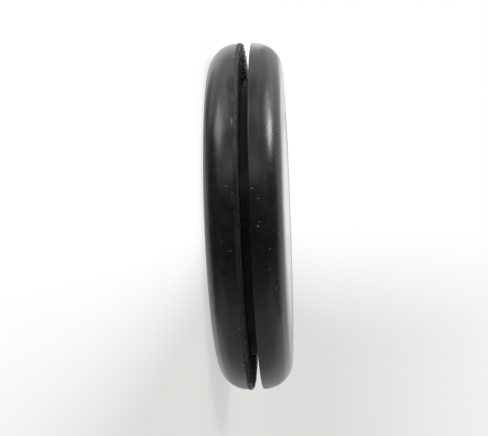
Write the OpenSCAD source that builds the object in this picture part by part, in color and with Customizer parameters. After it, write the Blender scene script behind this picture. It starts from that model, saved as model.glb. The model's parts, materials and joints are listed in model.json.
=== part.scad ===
// Closed snap-in rubber grommet.
// One moulded piece, turned about Z. It lies on its open face at z = 0 and its
// closed face is on top. The edge of a panel hole sits in the groove between
// the two flanges, and the membrane closes the hole until a cable pierces it.

/* [Flanges] */
// Outside diameter of both flanges
flange_d = 50; // [46:0.5:60]
// Thickness of the flange on the open side, from its face to the groove
open_flange_h = 4.6; // [4.2:0.1:8]
// Thickness of the flange on the closed side, from the groove to its face
closed_flange_h = 4.2; // [4.2:0.1:8]
// Radius of the big round from each rim to its face
shoulder_r = 3.9; // [1:0.1:3.9]
// Radius that breaks the edge of each rim at the groove
lip_r = 0.2; // [0.1:0.05:0.25]

/* [Panel groove] */
// Diameter of the panel hole that the groove floor fills
panel_hole_d = 40; // [38:0.5:43]
// Width of the groove, for the thickness of the panel
groove_w = 1.5; // [1:0.1:4]
// Radius in the two corners of the groove floor
root_r = 0.3; // [0.1:0.05:0.45]

/* [Hollow] */
// Thickness of the membrane that closes the grommet
membrane_t = 2; // [1:0.1:4]
// Diameter of the hollow at its mouth in the open face
mouth_d = 33; // [24:0.5:34]
// Draft of the hollow's wall, in degrees, so that it leaves the mould
draft = 3; // [0:0.5:6]
// Radius in the corner between the hollow's wall and the membrane
floor_r = 1.5; // [0.5:0.1:3]
// Radius that rounds the edge of the mouth
mouth_r = 0.8; // [0.2:0.1:1.5]

/* [Hidden] */
$fn = 96;

flange_r = flange_d / 2;
groove_floor_r = panel_hole_d / 2;
body_h = open_flange_h + groove_w + closed_flange_h;
hollow_h = body_h - membrane_t;

// How far a cutting shape runs past the face or the rim that it cuts.
overrun = 1;

// Radius of the hollow's drafted wall at a height above the open face.
function wall_r(z) = mouth_d / 2 - z * tan(draft);

// Quarter of a disc, in the corner where x and y are both positive.
module quarter_disc(r) {
    intersection() {
        circle(r);
        square(r);
    }
}

// Section of one flange: its face at y = 0, its groove side at y = h. The
// shoulder is the big quarter round, and the lip the small one above it.
module flange_section(h) {
    shoulder_x = flange_r - shoulder_r;
    lip_x = flange_r - lip_r;
    square([shoulder_x, h]);
    translate([shoulder_x, shoulder_r]) mirror([0, 1]) quarter_disc(shoulder_r);
    translate([0, shoulder_r]) square([flange_r, h - shoulder_r - lip_r]);
    translate([0, shoulder_r]) square([lip_x, h - shoulder_r]);
    translate([lip_x, h - lip_r]) quarter_disc(lip_r);
}

// Section of the neck that joins the flanges, with a root radius flaring out
// to each of them.
module neck_section() {
    root_x = groove_floor_r + root_r;
    difference() {
        square([root_x, groove_w]);
        translate([root_x, root_r]) circle(root_r);
        translate([root_x, groove_w - root_r]) circle(root_r);
        translate([groove_floor_r, root_r])
            square([root_r + overrun, groove_w - 2 * root_r]);
    }
}

// Section of the hollow below the membrane. The drafted wall runs from the
// round of the mouth, which touches the open face, to the round at the floor.
module hollow_section() {
    mouth_x = wall_r(mouth_r) + mouth_r / cos(draft);
    floor_z = hollow_h - floor_r;
    floor_x = wall_r(floor_z) - floor_r / cos(draft);
    difference() {
        union() {
            polygon([
                [0, -overrun],
                [mouth_x, -overrun],
                [mouth_x, mouth_r],
                [mouth_x - mouth_r * cos(draft), mouth_r - mouth_r * sin(draft)],
                [floor_x + floor_r * cos(draft), floor_z + floor_r * sin(draft)],
                [floor_x, hollow_h],
                [0, hollow_h]
            ]);
            translate([floor_x, floor_z]) circle(floor_r);
        }
        translate([mouth_x, mouth_r]) circle(mouth_r);
    }
}

// Half section of the whole grommet, from its axis outwards.
module grommet_section() {
    difference() {
        union() {
            flange_section(open_flange_h);
            translate([0, open_flange_h]) neck_section();
            translate([0, body_h]) mirror([0, 1]) flange_section(closed_flange_h);
        }
        hollow_section();
    }
}

module grommet() {
    color("#2a2a29")
        rotate_extrude() grommet_section();
}

grommet();
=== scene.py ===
"""Closed snap-in rubber grommet, dressed over its CAD solid.

The grommet is one moulding: two thick flanges with round shoulders, a narrow groove between them
for the edge of a panel, and a hollow under a membrane. It is modelled again here with the flash,
the uneven groove and the fine grain that a mould leaves, and it lies on its open face.
"""

import json
import logging
import math
from collections.abc import Callable, Iterator
from contextlib import contextmanager
from dataclasses import dataclass, field
from enum import Enum
from typing import Any

import bmesh
import bpy
from mathutils import Euler, Matrix, Vector


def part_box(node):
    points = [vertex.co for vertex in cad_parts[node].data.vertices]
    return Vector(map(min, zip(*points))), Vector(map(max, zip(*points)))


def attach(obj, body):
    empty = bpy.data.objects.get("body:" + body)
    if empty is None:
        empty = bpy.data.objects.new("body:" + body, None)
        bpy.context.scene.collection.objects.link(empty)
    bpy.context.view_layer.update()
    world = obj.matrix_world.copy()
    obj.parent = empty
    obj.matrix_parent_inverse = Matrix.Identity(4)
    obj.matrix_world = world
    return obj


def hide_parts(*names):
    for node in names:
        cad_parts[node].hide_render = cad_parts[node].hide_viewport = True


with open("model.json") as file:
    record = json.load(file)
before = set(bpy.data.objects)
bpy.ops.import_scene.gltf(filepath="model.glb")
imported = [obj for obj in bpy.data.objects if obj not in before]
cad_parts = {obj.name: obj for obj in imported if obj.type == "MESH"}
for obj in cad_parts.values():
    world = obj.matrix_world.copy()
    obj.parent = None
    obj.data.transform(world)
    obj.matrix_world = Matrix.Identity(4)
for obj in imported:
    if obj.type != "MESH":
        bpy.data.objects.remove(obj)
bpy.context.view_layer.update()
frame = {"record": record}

Piece = bpy.types.Object
Tree = bpy.types.NodeTree
Socket = bpy.types.NodeSocket

LOG = logging.getLogger("grommet")
MM = 0.001
TOUCH = 0.01 * MM  # nearer than this, two places count as one
MERGED = TOUCH / 10  # nearer than this, two points are made one
SQUARELY = 0.9  # a face looks along the axis if its normal has more than this along it
ZENITH = Vector((-1, 0, 0))  # the side of the grommet that the camera holds up
WHITE = (1.0, 1.0, 1.0, 1.0)
MATH = "ShaderNodeMath"
VECTOR_MATH = "ShaderNodeVectorMath"
MIX = "ShaderNodeMix"
RANGE = "ShaderNodeMapRange"
SMOOTHLY = {"interpolation_type": "SMOOTHSTEP"}


# --- mesh work ---


def select_only(piece: Piece) -> None:
    """Deselects everything, then selects one object and makes it active.

    Args:
        piece: The object that the next operators work on.
    """
    bpy.ops.object.select_all(action="DESELECT")
    piece.select_set(True)
    bpy.context.view_layer.objects.active = piece


@contextmanager
def edit_mode(piece: Piece) -> Iterator[None]:
    """Holds a piece in edit mode, with nothing selected at the start.

    Args:
        piece: The mesh object to edit.

    Yields:
        Nothing; the piece is back in object mode afterwards.
    """
    select_only(piece)
    bpy.ops.object.mode_set(mode="EDIT")
    bpy.ops.mesh.select_all(action="DESELECT")
    try:
        yield
    finally:
        bpy.ops.object.mode_set(mode="OBJECT")


def select_faces(piece: Piece, wanted: Callable[[Vector, Vector], bool]) -> None:
    """Selects the faces that a rule picks, and no others.

    Args:
        piece: The mesh object, in edit mode.
        wanted: Takes a face's middle and its normal, and says whether the face is picked.
    """
    bpy.ops.mesh.select_mode(type="FACE")
    bpy.ops.mesh.select_all(action="DESELECT")
    mesh = bmesh.from_edit_mesh(piece.data)
    for face in mesh.faces:
        if wanted(face.calc_center_median(), face.normal):
            face.select_set(True)
    bmesh.update_edit_mesh(piece.data)


def select_edges(piece: Piece, wanted: Callable[[Vector, Vector], bool]) -> None:
    """Selects the edges that a rule picks, and no others.

    Args:
        piece: The mesh object, in edit mode.
        wanted: Takes an edge's two ends and says whether the edge is picked.
    """
    bpy.ops.mesh.select_mode(type="EDGE")
    bpy.ops.mesh.select_all(action="DESELECT")
    mesh = bmesh.from_edit_mesh(piece.data)
    for edge in mesh.edges:
        if wanted(edge.verts[0].co, edge.verts[1].co):
            edge.select_set(True)
    bmesh.update_edit_mesh(piece.data)


def off_axis(point: Vector) -> float:
    """Distance of a point from the grommet's axis."""
    return math.hypot(point.x, point.y)


def near(point: Vector, bearing: float, reach: float) -> float:
    """Says how near a point is to a bearing round the axis.

    Args:
        point: The point.
        bearing: The bearing in degrees, from the -Y side towards +X.
        reach: How many degrees away the share falls to nothing.

    Returns:
        1 at the bearing, falling smoothly to 0 at the reach.
    """
    away = abs(math.degrees(math.atan2(point.x, -point.y)) - bearing)
    return math.cos(away / reach * math.pi / 2) ** 2 if away < reach else 0.0


# --- the moulding ---


class Stretch(Enum):
    """The stretches that the mould finishes differently, by their place among the materials."""

    OUTSIDE = 0
    WALLS = 1
    NECK = 2
    FLASH = 3


@dataclass(frozen=True)
class Corner:
    """A circular edge of the sharp-edged ring, and the round that breaks it.

    The opening is the smaller angle between the edge's two faces, in degrees.
    """

    off_axis: float
    height: float
    radius: float
    steps: int
    opening: float = 90.0

    @property
    def set_back(self) -> float:
        """How far from the sharp edge the round starts, on either face."""
        return self.radius / math.tan(math.radians(self.opening / 2))

    def holds(self, start: Vector, end: Vector) -> bool:
        """Says whether an edge lies on this circle."""
        return all(
            abs(off_axis(point) - self.off_axis) < TOUCH and abs(point.z - self.height) < TOUCH
            for point in (start, end)
        )


class Way(Enum):
    """The ways that a surface can be pushed, by the Displace modifier's names for them."""

    OUT = "NORMAL"
    ALONG = "Z"


@dataclass(frozen=True)
class Push:
    """A small change that the mould made to a stretch of the surface.

    The surface moves by the whole depth where there is no wave, and both ways round its place
    by half the depth where there is one. The share says how much of that a point takes, the
    wave is the length of the broadest bumps, and each detail adds bumps half as long.
    """

    name: str
    depth: float
    share: Callable[[Vector], float]
    wave: float = 0.0
    detail: int = 0
    way: Way = Way.OUT

    def apply(self, piece: Piece) -> None:
        """Moves the surface.

        Args:
            piece: The mesh object.
        """
        group = piece.vertex_groups.new(name=self.name)
        for vertex in piece.data.vertices:
            share = self.share(vertex.co)
            if share > 0:
                group.add([vertex.index], share, "REPLACE")
        select_only(piece)
        bpy.ops.object.modifier_add(type="DISPLACE")
        push = piece.modifiers[-1]
        push.vertex_group = self.name
        push.direction = self.way.value
        push.strength = self.depth
        push.mid_level = 0.0
        if self.wave > 0:
            waves = bpy.data.textures.new(self.name, "CLOUDS")
            waves.noise_scale = self.wave
            waves.noise_depth = self.detail
            push.texture = waves
            push.texture_coords = "LOCAL"
            push.mid_level = 0.5
        bpy.ops.object.modifier_apply(modifier=push.name)


@dataclass
class Grommet:
    """The one-piece moulding: flanges, panel groove, neck, hollow and membrane.

    The outside sizes and the groove come from the frame. The fields with values are the sizes
    that the frame doesn't state. Bearings, and the reaches beside them, are in degrees.
    """

    shoulder_radius: float = 3.9 * MM
    lip_radius: float = 0.2 * MM
    sharp_lip_radius: float = 0.08 * MM
    root_radius: float = 0.3 * MM
    mouth_radius: float = 0.8 * MM
    corner_radius: float = 1.5 * MM
    mouth_across: float = 33.0 * MM
    draft: float = 3.0
    membrane: float = 2.0 * MM
    flash_width: float = 0.45 * MM
    flash_rise: float = 0.06 * MM
    flash_slope: float = 0.05 * MM
    flash_overlap: float = 0.75  # the share of the lip's round that the flash covers
    root_reach: float = 2.0 * MM
    around: int = 512
    face_rings: tuple[float, ...] = (0.3 * MM, 1.2 * MM, 3.0 * MM, 3.0 * MM, 3.0 * MM)
    open_wall_cuts: int = 14
    closed_wall_cuts: int = 6
    torn: tuple[tuple[float, float], ...] = ((54.0, 30.0), (-96.0, 38.0))  # bearing, reach
    torn_cuts: int = 2
    rough_walls: tuple[tuple[float, int], ...] = ((90.0, 1), (-90.0, 2))  # bearing, cuts
    rough_reach: float = 42.0
    true_below: float = 0.6 * MM  # the outside stays true up to here, so it lies flat
    smooth_below: float = 40.0  # faces that turn by less than this shade as one
    flange_radius: float = field(init=False)
    height: float = field(init=False)
    groove_low: float = field(init=False)
    groove_high: float = field(init=False)
    neck_radius: float = field(init=False)

    def __post_init__(self) -> None:
        """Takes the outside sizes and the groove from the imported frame."""
        low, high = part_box("grommet")
        mounts = {mount["name"]: mount for mount in frame["record"]["mounts"]}
        middle = mounts["panel_groove"]["pos_m"][2]
        groove = mounts["panel_groove"]["dims"]
        self.flange_radius = high.x
        self.height = high.z - low.z
        self.groove_low = middle - groove["length_mm"] * MM / 2
        self.groove_high = middle + groove["length_mm"] * MM / 2
        self.neck_radius = groove["r_mm"] * MM

    @property
    def hollow_depth(self) -> float:
        """Depth of the hollow, from the open face to the membrane."""
        return self.height - self.membrane

    @property
    def hollow_end(self) -> float:
        """Radius of the hollow's wall where it would meet the membrane."""
        return self.mouth_across / 2 - self.hollow_depth * math.tan(math.radians(self.draft))

    def build(self) -> Piece:
        """Models the grommet, from a plain disc to the finished moulding.

        Returns:
            The mesh object, with its origin at the frame's.
        """
        piece = self._add_disc()
        self._cut_groove(piece)
        self._sink_hollow(piece)
        self._round_corners(piece)
        self._divide_flats(piece)
        self._raise_flash(piece)
        self._roughen(piece)
        self._close(piece)
        return piece

    def dress(self, piece: Piece, finishes: dict[Stretch, "RubberFinish"]) -> None:
        """Gives each stretch of the moulding its finish.

        Args:
            piece: The finished shape.
            finishes: The finish of every stretch.
        """
        for stretch in Stretch:
            piece.data.materials.append(finishes[stretch].material())
        with edit_mode(piece):
            for stretch, holds in (
                (Stretch.WALLS, self._on_walls),
                (Stretch.NECK, self._on_neck),
                (Stretch.FLASH, self._on_flash),
            ):
                select_faces(piece, lambda middle, _: holds(middle))
                piece.active_material_index = stretch.value
                bpy.ops.object.material_slot_assign()

    def _on_walls(self, point: Vector) -> bool:
        """Says whether a point is on one of the groove's two walls.

        Args:
            point: The point.

        Returns:
            True between a wall's root and its lip.
        """
        slack = self.root_radius / 2
        between = self.groove_low - slack < point.z < self.groove_high + slack
        foot, rim = self.neck_radius + self.root_radius, self.flange_radius - self.lip_radius
        return between and foot < off_axis(point) < rim

    def _on_neck(self, point: Vector) -> bool:
        """Says whether a point is on the neck or on a root of the groove.

        Args:
            point: The point.

        Returns:
            True on the groove's floor and on the rounds at its two edges.
        """
        between = self.groove_low - TOUCH < point.z < self.groove_high + TOUCH
        foot = self.neck_radius + self.root_radius
        return between and self.neck_radius - self.root_radius < off_axis(point) <= foot

    def _on_flash(self, point: Vector) -> bool:
        """Says whether a point is on the bead of flash along the open flange's lip.

        Args:
            point: The point.

        Returns:
            True on the outer part of the lip's round and on the rim as far as the flash goes.
        """
        foot = self.flange_radius - self.flash_overlap * self.lip_radius
        level = self.groove_low - self.flash_width < point.z < self.groove_low + TOUCH
        return off_axis(point) > foot and level

    def _by_lip(self, point: Vector) -> float:
        """Says how near a point is to the open flange's lip.

        Args:
            point: The point.

        Returns:
            1 where the lip's round starts on the wall, falling to 0 a flash's width away.
        """
        out = off_axis(point) - self.flange_radius + self.lip_radius
        away = math.hypot(out, point.z - self.groove_low)
        return max(0.0, 1 - away / self.flash_width)

    def _by_root(self, point: Vector) -> float:
        """Says how near a point is to the root of the open flange's wall.

        Args:
            point: The point.

        Returns:
            1 in the corner that the root fills, falling to 0 at the root's reach.
        """
        away = math.hypot(off_axis(point) - self.neck_radius, point.z - self.groove_low)
        low = point.z < (self.groove_low + self.groove_high) / 2
        return max(0.0, 1 - away / self.root_reach) if low else 0.0

    def _add_disc(self) -> Piece:
        """Adds the disc that the whole ring is shaped from.

        Returns:
            The new mesh object.
        """
        bpy.ops.object.select_all(action="DESELECT")
        bpy.ops.mesh.primitive_cylinder_add(
            vertices=self.around,
            radius=self.flange_radius,
            depth=self.height,
            location=(0, 0, self.height / 2),
        )
        bpy.ops.object.transform_apply(location=True, rotation=True, scale=True)
        piece = bpy.context.object
        piece.name = piece.data.name = "grommet_moulding"
        return piece

    def _cut_groove(self, piece: Piece) -> None:
        """Draws the band between the flanges in, down to the neck.

        Args:
            piece: The disc.
        """
        shrink = self.neck_radius / self.flange_radius
        with edit_mode(piece):
            for level in (self.groove_low, self.groove_high):
                bpy.ops.mesh.select_all(action="SELECT")
                bpy.ops.mesh.bisect(plane_co=(0, 0, level), plane_no=(0, 0, 1))
            select_faces(piece, lambda middle, _: self.groove_low < middle.z < self.groove_high)
            bpy.ops.mesh.extrude_region_move()
            bpy.ops.transform.resize(value=(shrink, shrink, 1), center_override=(0, 0, 0))

    def _sink_hollow(self, piece: Piece) -> None:
        """Insets the open face and pushes it up to the membrane, with the wall's draft.

        Args:
            piece: The grooved disc.
        """
        mouth = self.mouth_across / 2
        taper = self.hollow_end / mouth
        rise = (0, 0, self.hollow_depth)
        with edit_mode(piece):
            select_faces(piece, lambda middle, normal: normal.z < -SQUARELY and middle.z < TOUCH)
            bpy.ops.mesh.inset(thickness=self.flange_radius - mouth)
            bpy.ops.mesh.extrude_region_move(TRANSFORM_OT_translate={"value": rise})
            bpy.ops.transform.resize(value=(taper, taper, 1), center_override=(0, 0, 0))

    def _corners(self) -> list[Corner]:
        """Lists every circular edge that the mould rounds.

        Returns:
            The edges, from the outside in.
        """
        outside, neck, mouth = self.flange_radius, self.neck_radius, self.mouth_across / 2
        low, high = self.groove_low, self.groove_high
        slant = 90 + self.draft
        return [
            Corner(outside, 0, self.shoulder_radius, steps=18),
            Corner(outside, self.height, self.shoulder_radius, steps=18),
            Corner(outside, low, self.lip_radius, steps=4),
            Corner(outside, high, self.sharp_lip_radius, steps=3),
            Corner(neck, low, self.root_radius, steps=4),
            Corner(neck, high, self.root_radius, steps=4),
            Corner(mouth, 0, self.mouth_radius, steps=6, opening=slant),
            Corner(self.hollow_end, self.hollow_depth, self.corner_radius, steps=8, opening=slant),
        ]

    def _round_corners(self, piece: Piece) -> None:
        """Bevels each circular edge to its own radius.

        Args:
            piece: The sharp-edged ring.
        """
        with edit_mode(piece):
            for corner in self._corners():
                select_edges(piece, corner.holds)
                bpy.ops.mesh.bevel(offset=corner.set_back, segments=corner.steps)

    def _divide_flats(self, piece: Piece) -> None:
        """Adds rings to the closed face, the membrane's inside and the groove's walls.

        Args:
            piece: The rounded ring.
        """
        walls = ((self.groove_low, self.open_wall_cuts), (self.groove_high, self.closed_wall_cuts))
        with edit_mode(piece):
            for level, facing in ((self.height, 1), (self.hollow_depth, -1)):
                select_faces(
                    piece,
                    lambda middle, normal: off_axis(middle) < MM
                    and abs(middle.z - level) < TOUCH
                    and normal.z * facing > 0,
                )
                for ring in self.face_rings:
                    bpy.ops.mesh.inset(thickness=ring)
            for level, cuts in walls:
                select_edges(
                    piece,
                    lambda start, end: abs(start.z - level) < TOUCH
                    and abs(end.z - level) < TOUCH
                    and abs(off_axis(start) - off_axis(end)) > MM
                    and min(off_axis(start), off_axis(end)) > self.neck_radius,
                )
                bpy.ops.mesh.subdivide(number_cuts=cuts)

    def _raise_flash(self, piece: Piece) -> None:
        """Raises the thin bead that the mould's joint leaves on the open flange's lip.

        Args:
            piece: The ring with its flats divided.
        """
        bottom = self.groove_low - self.flash_width
        rim = self.flange_radius - self.lip_radius
        with edit_mode(piece):
            bpy.ops.mesh.select_all(action="SELECT")
            bpy.ops.mesh.bisect(plane_co=(0, 0, bottom), plane_no=(0, 0, 1))
            select_faces(
                piece,
                lambda middle, _: bottom < middle.z < self.groove_low - TOUCH / 2
                and off_axis(middle) > rim,
            )
            bpy.ops.mesh.inset(thickness=self.flash_slope, depth=self.flash_rise)
            self._divide_rough_stretches(piece)

    def _divide_rough_stretches(self, piece: Piece) -> None:
        """Divides the lip and the open flange's wall finely where they are torn and rough.

        Args:
            piece: The ring with its flash, in edit mode.
        """
        select_faces(
            piece,
            lambda middle, _: self._by_lip(middle) > 0
            and max(near(middle, bearing, reach) for bearing, reach in self.torn) > 0,
        )
        bpy.ops.mesh.subdivide(number_cuts=self.torn_cuts)
        for bearing, cuts in self.rough_walls:
            select_faces(
                piece,
                lambda middle, normal: self._on_walls(middle)
                and normal.z > SQUARELY
                and self._by_lip(middle) == 0
                and near(middle, bearing, self.rough_reach) > 0,
            )
            bpy.ops.mesh.subdivide(number_cuts=cuts)

    def _pushes(self) -> list[Push]:
        """Lists what the mould and wear left untrue.

        Returns:
            The pushes of the outside, the flash, the walls, the neck, the lip and the root.
        """
        flash, walls, neck = self._on_flash, self._on_walls, self._on_neck
        lip, root = self._by_lip, self._by_root
        return [
            Push("outside", 0.03 * MM, lambda p: float(p.z > self.true_below), 5 * MM),
            Push("flash", 0.22 * MM, lambda p: float(flash(p)), 0.8 * MM, 2),
            Push("torn_flash", 0.32 * MM, lambda p: flash(p) * near(p, 52, 24), 0.45 * MM, 1),
            Push("curl", 0.17 * MM, lambda p: flash(p) * near(p, 70, 11)),
            Push("nub", 0.15 * MM, lambda p: flash(p) * near(p, -89, 2)),
            Push("walls", 0.16 * MM, lambda p: float(walls(p)), 0.6 * MM, 2),
            Push("neck", 0.06 * MM, lambda p: float(neck(p)), 0.9 * MM, 1),
            Push("top_wall", 0.7 * MM, lambda p: walls(p) * near(p, -90, 46), 0.3 * MM, 1),
            Push("low_wall", 0.5 * MM, lambda p: walls(p) * near(p, 90, 46), 0.35 * MM, 1),
            Push("uneven_lip", 0.16 * MM, lip, 0.7 * MM, 2, Way.ALONG),
            Push("nicks", 0.9 * MM, lambda p: lip(p) * near(p, 41, 12), 0.4 * MM, 1, Way.ALONG),
            Push("low_nicks", 0.5 * MM, lambda p: lip(p) * near(p, 70, 14), 0.4 * MM, 1, Way.ALONG),
            Push("low_lip", -0.22 * MM, lambda p: lip(p) * near(p, 54, 22), way=Way.ALONG),
            Push("top_nicks", 1.0 * MM, lambda p: lip(p) * near(p, -92, 24), 0.4 * MM, 1, Way.ALONG),
            Push("worn_lip", -0.1 * MM, lambda p: lip(p) * near(p, -32, 38), way=Way.ALONG),
            Push("far_lip", 0.14 * MM, lambda p: lip(p) * near(p, -112, 14), way=Way.ALONG),
            Push("filled_root", 0.2 * MM, lambda p: root(p) * near(p, -90, 44), way=Way.ALONG),
            Push("rough_root", 0.7 * MM, lambda p: root(p) * near(p, -90, 44), 0.35 * MM, 1, Way.ALONG),
        ]

    def _roughen(self, piece: Piece) -> None:
        """Pushes each untrue stretch out of its true place, one after another.

        Args:
            piece: The ring with its rough stretches divided.
        """
        for push in self._pushes():
            push.apply(piece)

    def _close(self, piece: Piece) -> None:
        """Merges what meets, turns every face outwards and shades the rounds smooth.

        Args:
            piece: The finished shape.
        """
        with edit_mode(piece):
            bpy.ops.mesh.select_all(action="SELECT")
            bpy.ops.mesh.remove_doubles(threshold=MERGED)
            bpy.ops.mesh.normals_make_consistent(inside=False)
        bpy.ops.object.shade_smooth_by_angle(angle=math.radians(self.smooth_below))


# --- finishes ---


def linear(code: str) -> tuple[float, float, float, float]:
    """Turns an sRGB hex colour into the linear colour that a shader takes.

    Args:
        code: A colour such as "#2a2a29".

    Returns:
        Red, green, blue and an alpha of 1.
    """
    parts = [int(code[place : place + 2], 16) / 255 for place in (1, 3, 5)]
    red, green, blue = (
        part / 12.92 if part <= 0.04045 else ((part + 0.055) / 1.055) ** 2.4 for part in parts
    )
    return red, green, blue, 1.0


def add_node(
    tree: Tree,
    kind: str,
    settings: dict[str, Any] | None = None,
    inputs: dict[str | int, Any] | None = None,
    output: str | None = None,
) -> Socket | None:
    """Adds a node, sets its options, and fills or links its inputs.

    Args:
        tree: The node tree to add it to.
        kind: The node's type, such as "ShaderNodeTexNoise".
        settings: The node's own options by name.
        inputs: A value or another node's output for each input, by name or number.
        output: The name of the output that is wanted.

    Returns:
        The output of that name, or the first one that the node uses, if it has any.
    """
    node = tree.nodes.new(kind)
    for name, value in (settings or {}).items():
        setattr(node, name, value)
    for key, value in (inputs or {}).items():
        socket = next(
            each
            for place, each in enumerate(node.inputs)
            if key == place or (key == each.name and each.enabled)
        )
        if isinstance(value, Socket):
            tree.links.new(value, socket)
        else:
            socket.default_value = value
    used = (each for each in node.outputs if each.enabled and output in (None, each.name))
    return next(used, None)


@dataclass(frozen=True)
class Fleck:
    """A round patch large enough to see by itself: some are dust and lint, some painted shade, some
    painted light.

    The size is its radius, and the stretch is how many times longer it is along the axis. It
    covers the rubber by as much as it is pale, wholly within the core, which is a share of its
    size, and less and less from there to its edge.
    """

    bearing: float
    height: float
    off_axis: float
    size: float
    stretch: float = 1.0
    pale: float = 0.6
    core: float = 0.4

    def cover(self, tree: Tree, place: Socket) -> Socket:
        """Adds the nodes that find this fleck.

        Args:
            tree: The material's node tree.
            place: The object coordinates.

        Returns:
            How much the fleck covers a point, from 0 to its paleness.
        """
        bearing = math.radians(self.bearing)
        out = self.off_axis
        middle = (out * math.sin(bearing), -out * math.cos(bearing), self.height)
        scale = (1 / self.size, 1 / self.size, 1 / (self.size * self.stretch))
        shift = tuple(-part * factor for part, factor in zip(middle, scale))
        values = {"Vector": place, "Location": shift, "Scale": scale}
        moved = add_node(tree, "ShaderNodeMapping", inputs=values)
        away = add_node(tree, VECTOR_MATH, {"operation": "LENGTH"}, {0: moved})
        ends = {"From Min": 1.0, "From Max": self.core, "To Max": self.pale}
        return add_node(tree, RANGE, SMOOTHLY, {"Value": away, **ends})


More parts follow.
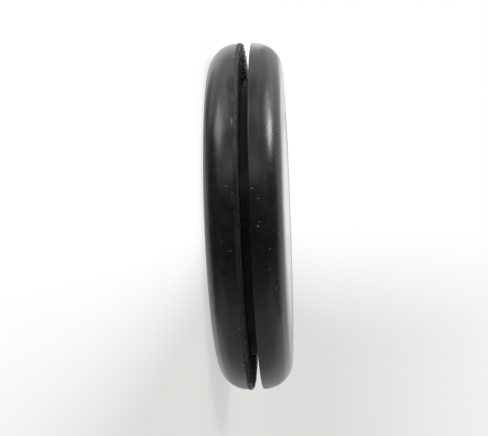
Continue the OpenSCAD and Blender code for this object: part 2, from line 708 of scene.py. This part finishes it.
@dataclass(frozen=True)
class RubberFinish:
    """Carbon-black filled nitrile rubber, as one stretch of the mould leaves it.

    The black filler leaves almost no colour of its own, so what the eye sees is the shine of
    the surface: bright along the rounds that face a lamp, pale where it is seen edge-on. Bloom
    greys it in soft patches, turning marks of the mould draw it out round the axis, and a few
    specks of dust and lint lie on it. Some stretches also carry patches of painted shade and
    painted light.

    The grit that blasts a mould is about 0.05 mm wide, and its turning marks are as fine. Both
    are too fine to show, so grain and mark are drawn 3 to 6 times coarser. They are a few
    microns deep on the outside, and deeper where the rubber is rough.
    """

    name: str
    roughness: float
    roughness_spread: float
    grain: float
    grain_depth: float
    marks_depth: float
    shine: float = 1.5
    sheen: float = 0.0
    sheen_roughness: float = 0.5
    black: str = "#0d0d0c"
    bloom: str = "#262624"
    patch: float = 1.8 * MM
    patch_detail: float = 5.0
    patch_fineness: float = 0.75
    patch_start: float = 0.3
    patch_end: float = 0.7
    mark: float = 0.16 * MM
    mark_run: float = 0.03
    relief_detail: float = 2.0
    # The colour and roughness of dust, which also paint the flecks that stand in for light.
    dust: str = "#9b9a98"
    dust_roughness: float = 0.9
    speck_spacing: float = 1.3 * MM
    speck: float = 0.13 * MM
    speck_share: float = 0.7
    speck_softness: float = 3.0
    faint_share: float = 0.45
    faintest: float = 0.1
    clearest: float = 0.6
    lint_spacing: float = 2.4 * MM
    lint: float = 0.1 * MM
    lint_share: float = 0.22
    lint_stretch: float = 7.0
    lint_pale: float = 0.35
    blank_roughness: float = 0.14
    blank_level: float = 10.3 * MM
    blank_depth: float = 0.2 * MM
    blank_edge: float = 21 * MM
    blank_middle: float = 15 * MM
    # Flecks are dust and lint, and in some finishes painted light.
    flecks_and_painted_light: tuple[Fleck, ...] = ()
    # Painted shade: the colour and roughness of darker patches laid where shade falls.
    painted_shade: str = "#080808"
    painted_shade_roughness: float = 0.9
    painted_shades: tuple[Fleck, ...] = ()

    def material(self) -> bpy.types.Material:
        """Makes the material of this stretch.

        Returns:
            The material, with nodes that read Object coordinates only.
        """
        made = bpy.data.materials.new(self.name)
        made.use_nodes = True
        tree = made.node_tree
        tree.nodes.clear()
        place = add_node(tree, "ShaderNodeTexCoord", output="Object")
        bloomed = self._bloomed(tree, place)
        # The painted shade patches, then the dust, with the flecks that are painted light.
        painted_shade_covers = [painted_shade.cover(tree, place) for painted_shade in self.painted_shades]
        dust_and_painted_light_cover = self._dust_and_painted_light(tree, place)
        blank = self._blank(tree, place)
        colour = self._layer(
            tree,
            "RGBA",
            linear(self.black),
            (bloomed, linear(self.bloom)),
            *((cover, linear(self.painted_shade)) for cover in painted_shade_covers),
            (dust_and_painted_light_cover, linear(self.dust)),
        )
        rough = self._layer(
            tree,
            "FLOAT",
            self.roughness - self.roughness_spread / 2,
            (bloomed, self.roughness + self.roughness_spread / 2),
            (blank, self.blank_roughness),
            *((cover, self.painted_shade_roughness) for cover in painted_shade_covers),
            (dust_and_painted_light_cover, self.dust_roughness),
        )
        shader = add_node(
            tree,
            "ShaderNodeBsdfPrincipled",
            inputs={
                "Base Color": colour,
                "Roughness": rough,
                "Normal": self._relief(tree, place),
                "IOR": self.shine,
                "Sheen Weight": self.sheen,
                "Sheen Roughness": self.sheen_roughness,
            },
        )
        add_node(tree, "ShaderNodeOutputMaterial", inputs={"Surface": shader})
        return made

    def _layer(self, tree: Tree, kind: str, ground: Any, *layers: tuple[Socket, Any]) -> Socket:
        """Lays values over a ground, each where its cover says.

        Args:
            tree: The material's node tree.
            kind: What the values are, "RGBA" or "FLOAT".
            ground: The value under all the others.
            *layers: The cover and the value of each layer, from the lowest up.

        Returns:
            The value that shows.
        """
        for cover, value in layers:
            values = {"Factor": cover, "A": ground, "B": value}
            ground = add_node(tree, MIX, {"data_type": kind}, values)
        return ground

    def _bloomed(self, tree: Tree, place: Socket) -> Socket:
        """Spreads the bloom in patches, with finer mottling inside them.

        Args:
            tree: The material's node tree.
            place: The object coordinates.

        Returns:
            How much the bloom greys the rubber, from 0 to 1.
        """
        values = {"Vector": place, "Scale": 1 / self.patch, "Detail": self.patch_detail}
        values["Roughness"] = self.patch_fineness
        patches = add_node(tree, "ShaderNodeTexNoise", inputs=values)
        ends = {"From Min": self.patch_start, "From Max": self.patch_end}
        return add_node(tree, RANGE, inputs={"Value": patches, **ends})

    def _specks(self, tree: Tree, place: Socket, spacing: float, size: float, share: float) -> Socket:
        """Scatters specks: a round spot in some of the cells that fill the space.

        Args:
            tree: The material's node tree.
            place: The coordinates that the cells fill.
            spacing: The size of a cell.
            size: The radius of a spot.
            share: The share of the cells that hold one.

        Returns:
            How much the specks cover a point: most of them are faint, and a few are clear.
        """
        cells = {"Vector": place, "Scale": 1 / spacing}
        away = add_node(tree, "ShaderNodeTexVoronoi", inputs=cells)
        reach = size / spacing
        ends = {"From Min": reach, "From Max": reach / self.speck_softness}
        spot = add_node(tree, RANGE, SMOOTHLY, {"Value": away, **ends})
        cell = {"Color": away.node.outputs["Color"]}
        drawn = add_node(tree, "ShaderNodeSeparateColor", inputs=cell, output="Red")
        held = add_node(tree, MATH, {"operation": "LESS_THAN"}, {0: drawn, 1: share})
        lot = drawn.node.outputs["Green"]
        ends = {"From Min": self.faint_share, "To Min": self.faintest, "To Max": self.clearest}
        pale = add_node(tree, RANGE, inputs={"Value": lot, **ends})
        shown = add_node(tree, MATH, {"operation": "MULTIPLY"}, {0: spot, 1: held})
        return add_node(tree, MATH, {"operation": "MULTIPLY"}, {0: shown, 1: pale})

    def _blank(self, tree: Tree, place: Socket) -> Socket:
        """Finds the blank face: the closed one, whose flat comes out smoother than the rounds.

        Args:
            tree: The material's node tree.
            place: The object coordinates.

        Returns:
            1 in the middle of the blank face, falling to 0 towards its edge and below it.
        """
        level = add_node(tree, "ShaderNodeSeparateXYZ", inputs={"Vector": place}, output="Z")
        away = add_node(tree, VECTOR_MATH, {"operation": "LENGTH"}, {0: place})
        ends = {"From Min": self.blank_level - self.blank_depth, "From Max": self.blank_level}
        top = add_node(tree, RANGE, SMOOTHLY, {"Value": level, **ends})
        ends = {"From Min": self.blank_edge, "From Max": self.blank_middle}
        inner = add_node(tree, RANGE, SMOOTHLY, {"Value": away, **ends})
        return add_node(tree, MATH, {"operation": "MULTIPLY"}, {0: top, 1: inner})

    def _dust_and_painted_light(self, tree: Tree, place: Socket) -> Socket:
        """Scatters dust, lint along the axis, and flecks, some of which are painted light.

        Args:
            tree: The material's node tree.
            place: The object coordinates.

        Returns:
            How much dust and painted light cover the rubber, from 0 to 1.
        """
        squeeze = {"Vector": place, "Scale": (1.0, 1.0, 1.0 / self.lint_stretch)}
        drawn_out = add_node(tree, "ShaderNodeMapping", inputs=squeeze)
        specks = self._specks(tree, place, self.speck_spacing, self.speck, self.speck_share)
        lint = self._specks(tree, drawn_out, self.lint_spacing, self.lint, self.lint_share)
        faint = add_node(tree, MATH, {"operation": "MULTIPLY"}, {0: lint, 1: self.lint_pale})
        # The flecks add dust, and in some finishes painted light.
        covers = [faint, *(fleck.cover(tree, place) for fleck in self.flecks_and_painted_light)]
        for cover in covers:
            specks = add_node(tree, MATH, {"operation": "MAXIMUM"}, {0: specks, 1: cover})
        return specks

    def _relief(self, tree: Tree, place: Socket) -> Socket:
        """Adds the fine relief: the mould's blasted grain, and its turning marks.

        The marks read the distance from the axis and the height, so they run round the axis,
        and only a little of the place itself, so each one fades in and out.

        Args:
            tree: The material's node tree.
            place: The object coordinates.

        Returns:
            The normal that the shader takes.
        """
        level = {"Vector": place, "Scale": (1.0, 1.0, 0.0)}
        flat = add_node(tree, "ShaderNodeMapping", inputs=level)
        out = add_node(tree, VECTOR_MATH, {"operation": "LENGTH"}, {0: flat})
        base = add_node(tree, "ShaderNodeCombineXYZ", inputs={"X": out})
        run = {0: place, 1: (self.mark_run, self.mark_run, 1.0), 2: base}
        rings = add_node(tree, VECTOR_MATH, {"operation": "MULTIPLY_ADD"}, run)
        height = 0.0
        for where, size, depth in (
            (rings, self.mark, self.marks_depth),
            (place, self.grain, self.grain_depth),
        ):
            values = {"Vector": where, "Scale": 1 / size, "Detail": self.relief_detail}
            noise = add_node(tree, "ShaderNodeTexNoise", inputs=values)
            more = {0: noise, 1: depth, 2: height}
            height = add_node(tree, MATH, {"operation": "MULTIPLY_ADD"}, more)
        return add_node(tree, "ShaderNodeBump", inputs={"Height": height, "Distance": 1.0})


# The finely blasted mould leaves a satin skin: long soft highlights along the rounds, nearly a
# mirror where it is seen edge-on, and grey bloom and dust that show in the dark bands.
OUTSIDE_RUBBER = RubberFinish(
    name="moulded_black_nitrile_rubber",
    roughness=0.27,
    roughness_spread=0.05,
    grain=0.22 * MM,
    grain_depth=0.005 * MM,
    marks_depth=0.003 * MM,
    flecks_and_painted_light=(
        Fleck(3, 7.1 * MM, 24.95 * MM, 0.17 * MM, pale=0.8),
        Fleck(35.6, 4.06 * MM, 25.0 * MM, 0.15 * MM, pale=0.9),
        Fleck(-59, 6.8 * MM, 25.0 * MM, 0.3 * MM, pale=0.12),
        Fleck(-63, 8.9 * MM, 24.2 * MM, 0.25 * MM, pale=0.15),
        Fleck(-57, 8.9 * MM, 24.2 * MM, 0.25 * MM, pale=0.15),
        Fleck(-35, 2.9 * MM, 24.9 * MM, 0.28 * MM, pale=0.15),
        Fleck(-7, 4.0 * MM, 25.0 * MM, 0.13 * MM, pale=0.6),
        Fleck(-8, 6.5 * MM, 25.0 * MM, 0.17 * MM, pale=0.4),
        Fleck(-5, 7.3 * MM, 24.9 * MM, 0.15 * MM, pale=0.35),
        Fleck(6, 9.6 * MM, 23.3 * MM, 0.18 * MM, pale=0.5),
        Fleck(23, 9.1 * MM, 23.9 * MM, 0.16 * MM, pale=0.5),
        Fleck(54, 2.1 * MM, 24.6 * MM, 0.15 * MM, pale=0.5),
        Fleck(10, 8.6 * MM, 24.4 * MM, 0.11 * MM, 2.6, 0.5),
        Fleck(-9, 3.2 * MM, 24.95 * MM, 0.13 * MM, 3.0, 0.25),
        Fleck(7, 2.5 * MM, 24.7 * MM, 0.1 * MM, 5.0, 0.25),
        Fleck(10, 3.3 * MM, 24.95 * MM, 0.08 * MM, 11.0, 0.3),
    ),
)
# The groove's walls tear a little as the grommet leaves the mould, so they look like dark
# felt, dull and grained, with pale dust caught in the pits. Two darker patches on the near
# wall are painted shade, and a pale patch along the far lip is partly dust and partly a
# painted highlight.
WALL_RUBBER = RubberFinish(
    name="rough_black_nitrile_rubber",
    roughness=0.5,
    roughness_spread=0.2,
    grain=0.25 * MM,
    grain_depth=0.04 * MM,
    marks_depth=0.02 * MM,
    sheen=0.12,
    black="#131312",
    bloom="#a4a4a0",
    patch=0.28 * MM,
    patch_start=0.44,
    patch_end=0.6,
    dust="#c4c3c0",
    dust_roughness=0.4,
    # Partly dust and partly a painted highlight along the far lip.
    flecks_and_painted_light=(Fleck(-104, 4.6 * MM, 24.5 * MM, 9.0 * MM, pale=0.4),),
    # Painted shade on the near wall, at the top and at the bottom.
    painted_shades=(
        Fleck(-56, 4.6 * MM, 24.0 * MM, 4.0 * MM, pale=0.7),
        Fleck(62, 4.6 * MM, 24.0 * MM, 6.0 * MM, pale=0.6),
    ),
)
# Down in the groove the rubber is dull and even. It is greyer than the outside, which is
# painted light that stands in for the stray light on the groove's floor. A pale patch is a
# painted reflection, and the darker patches are painted shade.
NECK_RUBBER = RubberFinish(
    name="dull_black_nitrile_rubber",
    roughness=0.6,
    roughness_spread=0.1,
    grain=0.3 * MM,
    grain_depth=0.01 * MM,
    marks_depth=0.02 * MM,
    shine=1.35,
    # Painted light: the neck's black and bloom are lighter than the outside's.
    black="#313130",
    bloom="#4b4b49",
    patch=1.5 * MM,
    # Painted reflection: a pale patch where the groove's floor mirrors the light.
    flecks_and_painted_light=(Fleck(-13, 5.5 * MM, 20.0 * MM, 2.0 * MM, pale=0.22),),
    # Painted shade: where the groove's floor lies in shade at the root and at the bottom.
    painted_shades=(
        Fleck(66, 5.4 * MM, 20.0 * MM, 8.0 * MM, pale=0.45),
        Fleck(-80, 4.8 * MM, 20.2 * MM, 3.2 * MM, pale=0.75),
    ),
)
# Flash is a thin torn edge, so it has little shine and looks like a dusty thread. A pale
# patch on its far stretch is partly dust and partly a painted highlight, and a dark patch
# on the camera's side is painted shade.
FLASH_RUBBER = RubberFinish(
    name="torn_black_nitrile_rubber_flash",
    roughness=0.62,
    roughness_spread=0.2,
    grain=0.15 * MM,
    grain_depth=0.01 * MM,
    marks_depth=0.002 * MM,
    black="#101010",
    bloom="#383836",
    patch=0.7 * MM,
    # Partly dust and partly a painted highlight along the far lip.
    flecks_and_painted_light=(Fleck(-110, 4.6 * MM, 24.9 * MM, 4.5 * MM, pale=0.85),),
    # Painted shade: a darker, duller patch on the camera's side.
    painted_shades=(Fleck(-6, 4.4 * MM, 25.0 * MM, 4.5 * MM, pale=0.8),),
)
FINISHES = {
    Stretch.OUTSIDE: OUTSIDE_RUBBER,
    Stretch.WALLS: WALL_RUBBER,
    Stretch.NECK: NECK_RUBBER,
    Stretch.FLASH: FLASH_RUBBER,
}


@dataclass(frozen=True)
class Paper:
    """Matt white paper, which shows white to the camera and keeps the grommet's shadow.

    Close to the grommet a part of its white comes from the light that falls on it, so a shadow
    greys it there. Further out it is plain, and meets the surroundings without an edge. Paper
    and surroundings alike carry painted shade: they turn a little grey towards +X, the side
    away from the light. The own white is the share that doesn't depend on light, and the
    softening slows the painted shade near the grommet.
    """

    name: str = "matt_white_paper"
    # Painted shade: the grey towards +X, in the glow and in the matt colour.
    shaded: str = "#dedcda"
    matt: str = "#929290"
    matt_shaded: str = "#7f7e7c"
    own_white: float = 0.8
    lit_radius: float = 45 * MM
    plain_radius: float = 260 * MM
    shade_start: float = 0.005
    shade_end: float = 0.11
    softening: float = 78 * MM

    def shade(self, tree: Tree, along: Socket) -> Socket:
        """Adds the node that says how far the painted shade has grown towards +X.

        Args:
            tree: The node tree to add it to.
            along: How far a point lies towards +X, as a share of its distance.

        Returns:
            The share of the painted shade, from 0 to 1.
        """
        ends = {"From Min": self.shade_start, "From Max": self.shade_end}
        return add_node(tree, RANGE, SMOOTHLY, {"Value": along, **ends})

    def material(self) -> bpy.types.Material:
        """Makes the paper's material.

        Returns:
            The material.
        """
        made = bpy.data.materials.new(self.name)
        made.use_nodes = True
        tree = made.node_tree
        tree.nodes.clear()
        place = add_node(tree, "ShaderNodeTexCoord", output="Object")
        away = add_node(tree, VECTOR_MATH, {"operation": "LENGTH"}, {0: place})
        level = add_node(tree, "ShaderNodeSeparateXYZ", inputs={"Vector": place}, output="X")
        reach = add_node(tree, MATH, {"operation": "ADD"}, {0: away, 1: self.softening})
        along = add_node(tree, MATH, {"operation": "DIVIDE"}, {0: level, 1: reach})
        # Painted shade towards +X, laid on the glow and the matt colour alike.
        share = self.shade(tree, along)
        pairs = ((WHITE, linear(self.shaded)), (linear(self.matt), linear(self.matt_shaded)))
        tone, lit = (
            add_node(tree, MIX, {"data_type": "RGBA"}, {"Factor": share, "A": light, "B": dark})
            for light, dark in pairs
        )
        matt = add_node(tree, "ShaderNodeBsdfDiffuse", inputs={"Color": lit})
        some, full = (
            add_node(tree, "ShaderNodeEmission", inputs={"Color": tone, "Strength": strength})
            for strength in (self.own_white, 1.0)
        )
        near_by = add_node(tree, "ShaderNodeAddShader", inputs={0: matt, 1: some})
        ends = {"From Min": self.lit_radius, "From Max": self.plain_radius}
        plain = add_node(tree, RANGE, SMOOTHLY, {"Value": away, **ends})
        mixed = add_node(tree, "ShaderNodeMixShader", inputs={0: plain, 1: near_by, 2: full})
        add_node(tree, "ShaderNodeOutputMaterial", inputs={"Surface": mixed})
        return made


# --- studio ---


@dataclass(frozen=True)
class Softbox:
    """A flat lamp that faces the grommet, placed by angles and sized by what it spans.

    The angles are those of a sky whose zenith is the -X side of the grommet. The bearing is 0
    on the camera's side and 90 over the closed face. A glow of 1 looks white.
    """

    name: str
    lift: float
    bearing: float
    wide: float
    tall: float
    glow: float
    distance: float = 0.6

    @property
    def toward(self) -> Vector:
        """Finds the way to the lamp.

        Returns:
            The unit vector from the grommet to the lamp.
        """
        lift, bearing = math.radians(self.lift), math.radians(self.bearing)
        level = math.cos(lift)
        return Vector((-math.sin(lift), -level * math.cos(bearing), level * math.sin(bearing)))

    def _span(self, angle: float) -> float:
        """Length that spans an angle, seen from the grommet."""
        return 2 * self.distance * math.tan(math.radians(angle / 2))

    def hang(self, middle: Vector) -> bpy.types.Object:
        """Adds the lamp.

        Args:
            middle: The point that the lamp faces.

        Returns:
            The lamp's object.
        """
        way = self.toward
        across = ZENITH.cross(way).normalized()
        turn = Matrix((across, way.cross(across), way)).transposed()
        place = middle + way * self.distance
        bpy.ops.object.light_add(type="AREA", location=place, rotation=turn.to_euler())
        lamp = bpy.context.object
        lamp.name = lamp.data.name = self.name
        lamp.data.shape = "RECTANGLE"
        lamp.data.size = self._span(self.wide)
        lamp.data.size_y = self._span(self.tall)
        lamp.data.energy = math.pi * lamp.data.size * lamp.data.size_y * self.glow
        return lamp


@dataclass
class Camera:
    """The camera, which looks along the flanges' edges with the grommet's axis lying across.

    It looks down by the elevation, and the roll turns the axis to lie across the picture. The
    grommet stands a little to the right of the picture's middle and above it.
    """

    distance: float = 179.4 * MM
    elevation: float = 3.36
    roll: float = 87.97
    aside: float = 1.41 * MM
    above: float = 0.27 * MM
    lens: float = 90.7
    nearest: float = 5 * MM

    def place(self, middle: Vector) -> bpy.types.Object:
        """Adds the camera and makes it the scene's.

        Args:
            middle: The point of the grommet's axis that the distance is measured to.

        Returns:
            The camera's object.
        """
        turn = Euler((math.radians(90 - self.elevation), 0, 0)).to_matrix()
        turn = turn @ Matrix.Rotation(math.radians(self.roll), 3, "Z")
        right, up, back = turn.col
        place = middle + back * self.distance - right * self.aside - up * self.above
        bpy.ops.object.camera_add(location=place, rotation=turn.to_euler())
        camera = bpy.context.object
        camera.name = camera.data.name = "camera"
        camera.data.lens = self.lens
        camera.data.clip_start = self.nearest
        bpy.context.scene.camera = camera
        return camera


@dataclass
class Studio:
    """The pale floor, the white surroundings, the lamps and the camera.

    The fill is the dim light that the surfaces take from all round. The painted shade of the
    surroundings clears upwards, to its least shade where the sine of the angle over the floor
    reaches the clearing.
    """

    middle: Vector
    floor_across: float = 12.0
    fill: float = 0.08
    clearing: float = 0.15
    least_shade: float = 0.35

    def build(self) -> None:
        """Sets the whole studio up round the grommet."""
        self._lay_floor()
        self._fill_world()
        for box in self._softboxes():
            box.hang(self.middle)
        Camera().place(self.middle)
        bpy.context.scene.view_settings.view_transform = "Standard"

    def _softboxes(self) -> list[Softbox]:
        """Lists the lamps: a tent of soft panels with a gap in front, and three small keys.

        The closed face mirrors the back_edge panels at its glancing angle, and they dim from
        the top down.

        Returns:
            The lamps, each with its lift, bearing, width and height in degrees, and its glow.
        """
        return [
            Softbox("front", 49, 0, 112, 50, 0.62),
            Softbox("front_low", 30, 0, 56, 14, 0.65),
            Softbox("front_left_high", 64, -72, 40, 24, 1.25),
            Softbox("front_right_high", 64, 72, 40, 24, 0.6),
            Softbox("top", 89, 0, 44, 44, 0.55),
            Softbox("back_high", 60, 180, 110, 34, 0.8),
            Softbox("back_middle_high", 28, -166, 34, 30, 1.15),
            Softbox("back_left_high", 27, -128, 40, 28, 0.2),
            Softbox("back_left", -6, -144, 72, 38, 0.75),
            Softbox("back_right_high", 27, 142, 72, 28, 0.72),
            Softbox("back_right", -6, 144, 72, 38, 0.75),
            Softbox("back_edge_high", 10.5, 171, 18, 8, 0.95),
            Softbox("back_edge", 2.7, 173, 22, 7.6, 0.38),
            Softbox("back_edge_fade", -2.3, 172, 20, 2.4, 0.27),
            Softbox("back_edge_low", -17, 171, 18, 27, 0.15),
            Softbox("back_low", -43, 180, 100, 34, 0.6),
            Softbox("low", -89, 0, 60, 60, 0.43),
            Softbox("low_front", -50, 0, 70, 16, 0.2),
            Softbox("left_low", -48, -90, 50, 22, 0.5),
            Softbox("left_low_edge", -32, -90, 50, 12, 0.22),
            Softbox("right_low", -48, 90, 50, 22, 0.5),
            Softbox("right_low_edge", -32, 90, 50, 12, 0.22),
            Softbox("left_key", 46, -71, 26, 17, 5.0),
            Softbox("right_key", 34, 91, 16, 10, 19.0),
            Softbox("right_key_upper", 45, 95, 24, 14, 3.6),
        ]

    def _lay_floor(self) -> None:
        """Lays the floor, which keeps the grommet's shadow and lets light through from below."""
        bpy.ops.object.select_all(action="DESELECT")
        bpy.ops.mesh.primitive_plane_add(size=self.floor_across, location=(0, 0, -TOUCH))
        floor = bpy.context.object
        floor.name = floor.data.name = "floor"
        floor.visible_diffuse = False
        floor.visible_glossy = False
        floor.visible_shadow = False
        floor.data.materials.append(Paper().material())

    def _fill_world(self) -> None:
        """Makes the surroundings white to the camera, with painted shade towards +X, and dim to the
        surfaces.
        """
        world = bpy.data.worlds.new("white_surroundings")
        bpy.context.scene.world = world
        world.use_nodes = True
        tree = world.node_tree
        tree.nodes.clear()
        way = add_node(tree, "ShaderNodeTexCoord", output="Generated")
        along = add_node(tree, "ShaderNodeSeparateXYZ", inputs={"Vector": way}, output="X")
        seen = add_node(tree, "ShaderNodeLightPath", output="Is Camera Ray")
        dim = (self.fill, self.fill, self.fill, 1.0)
        paper = Paper()
        # Painted shade: the camera's white turns grey towards +X and clears upwards.
        ends = {"From Max": self.clearing, "To Min": 1.0, "To Max": self.least_shade}
        clearer = add_node(tree, RANGE, inputs={"Value": along.node.outputs["Z"], **ends})
        shaded = {0: paper.shade(tree, along), 1: clearer}
        share = add_node(tree, MATH, {"operation": "MULTIPLY"}, shaded)
        tones = {"Factor": share, "A": WHITE, "B": linear(paper.shaded)}
        white = add_node(tree, MIX, {"data_type": "RGBA"}, tones)
        tones = {"Factor": seen, "A": dim, "B": white}
        colour = add_node(tree, MIX, {"data_type": "RGBA"}, tones)
        light = add_node(tree, "ShaderNodeBackground", inputs={"Color": colour, "Strength": 1.0})
        add_node(tree, "ShaderNodeOutputWorld", inputs={"Surface": light})


# --- assembly ---


def main() -> None:
    """Builds the grommet, dresses it and sets the studio up."""
    logging.basicConfig(level=logging.INFO, format="%(name)s: %(message)s")
    grommet = Grommet()
    piece = grommet.build()
    grommet.dress(piece, FINISHES)
    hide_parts("grommet")
    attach(piece, "root")
    LOG.info("%s: %d faces", piece.name, len(piece.data.polygons))
    Studio(Vector((0, 0, (grommet.groove_low + grommet.groove_high) / 2))).build()
    LOG.info("studio set up")


if __name__ == "__main__":
    main()
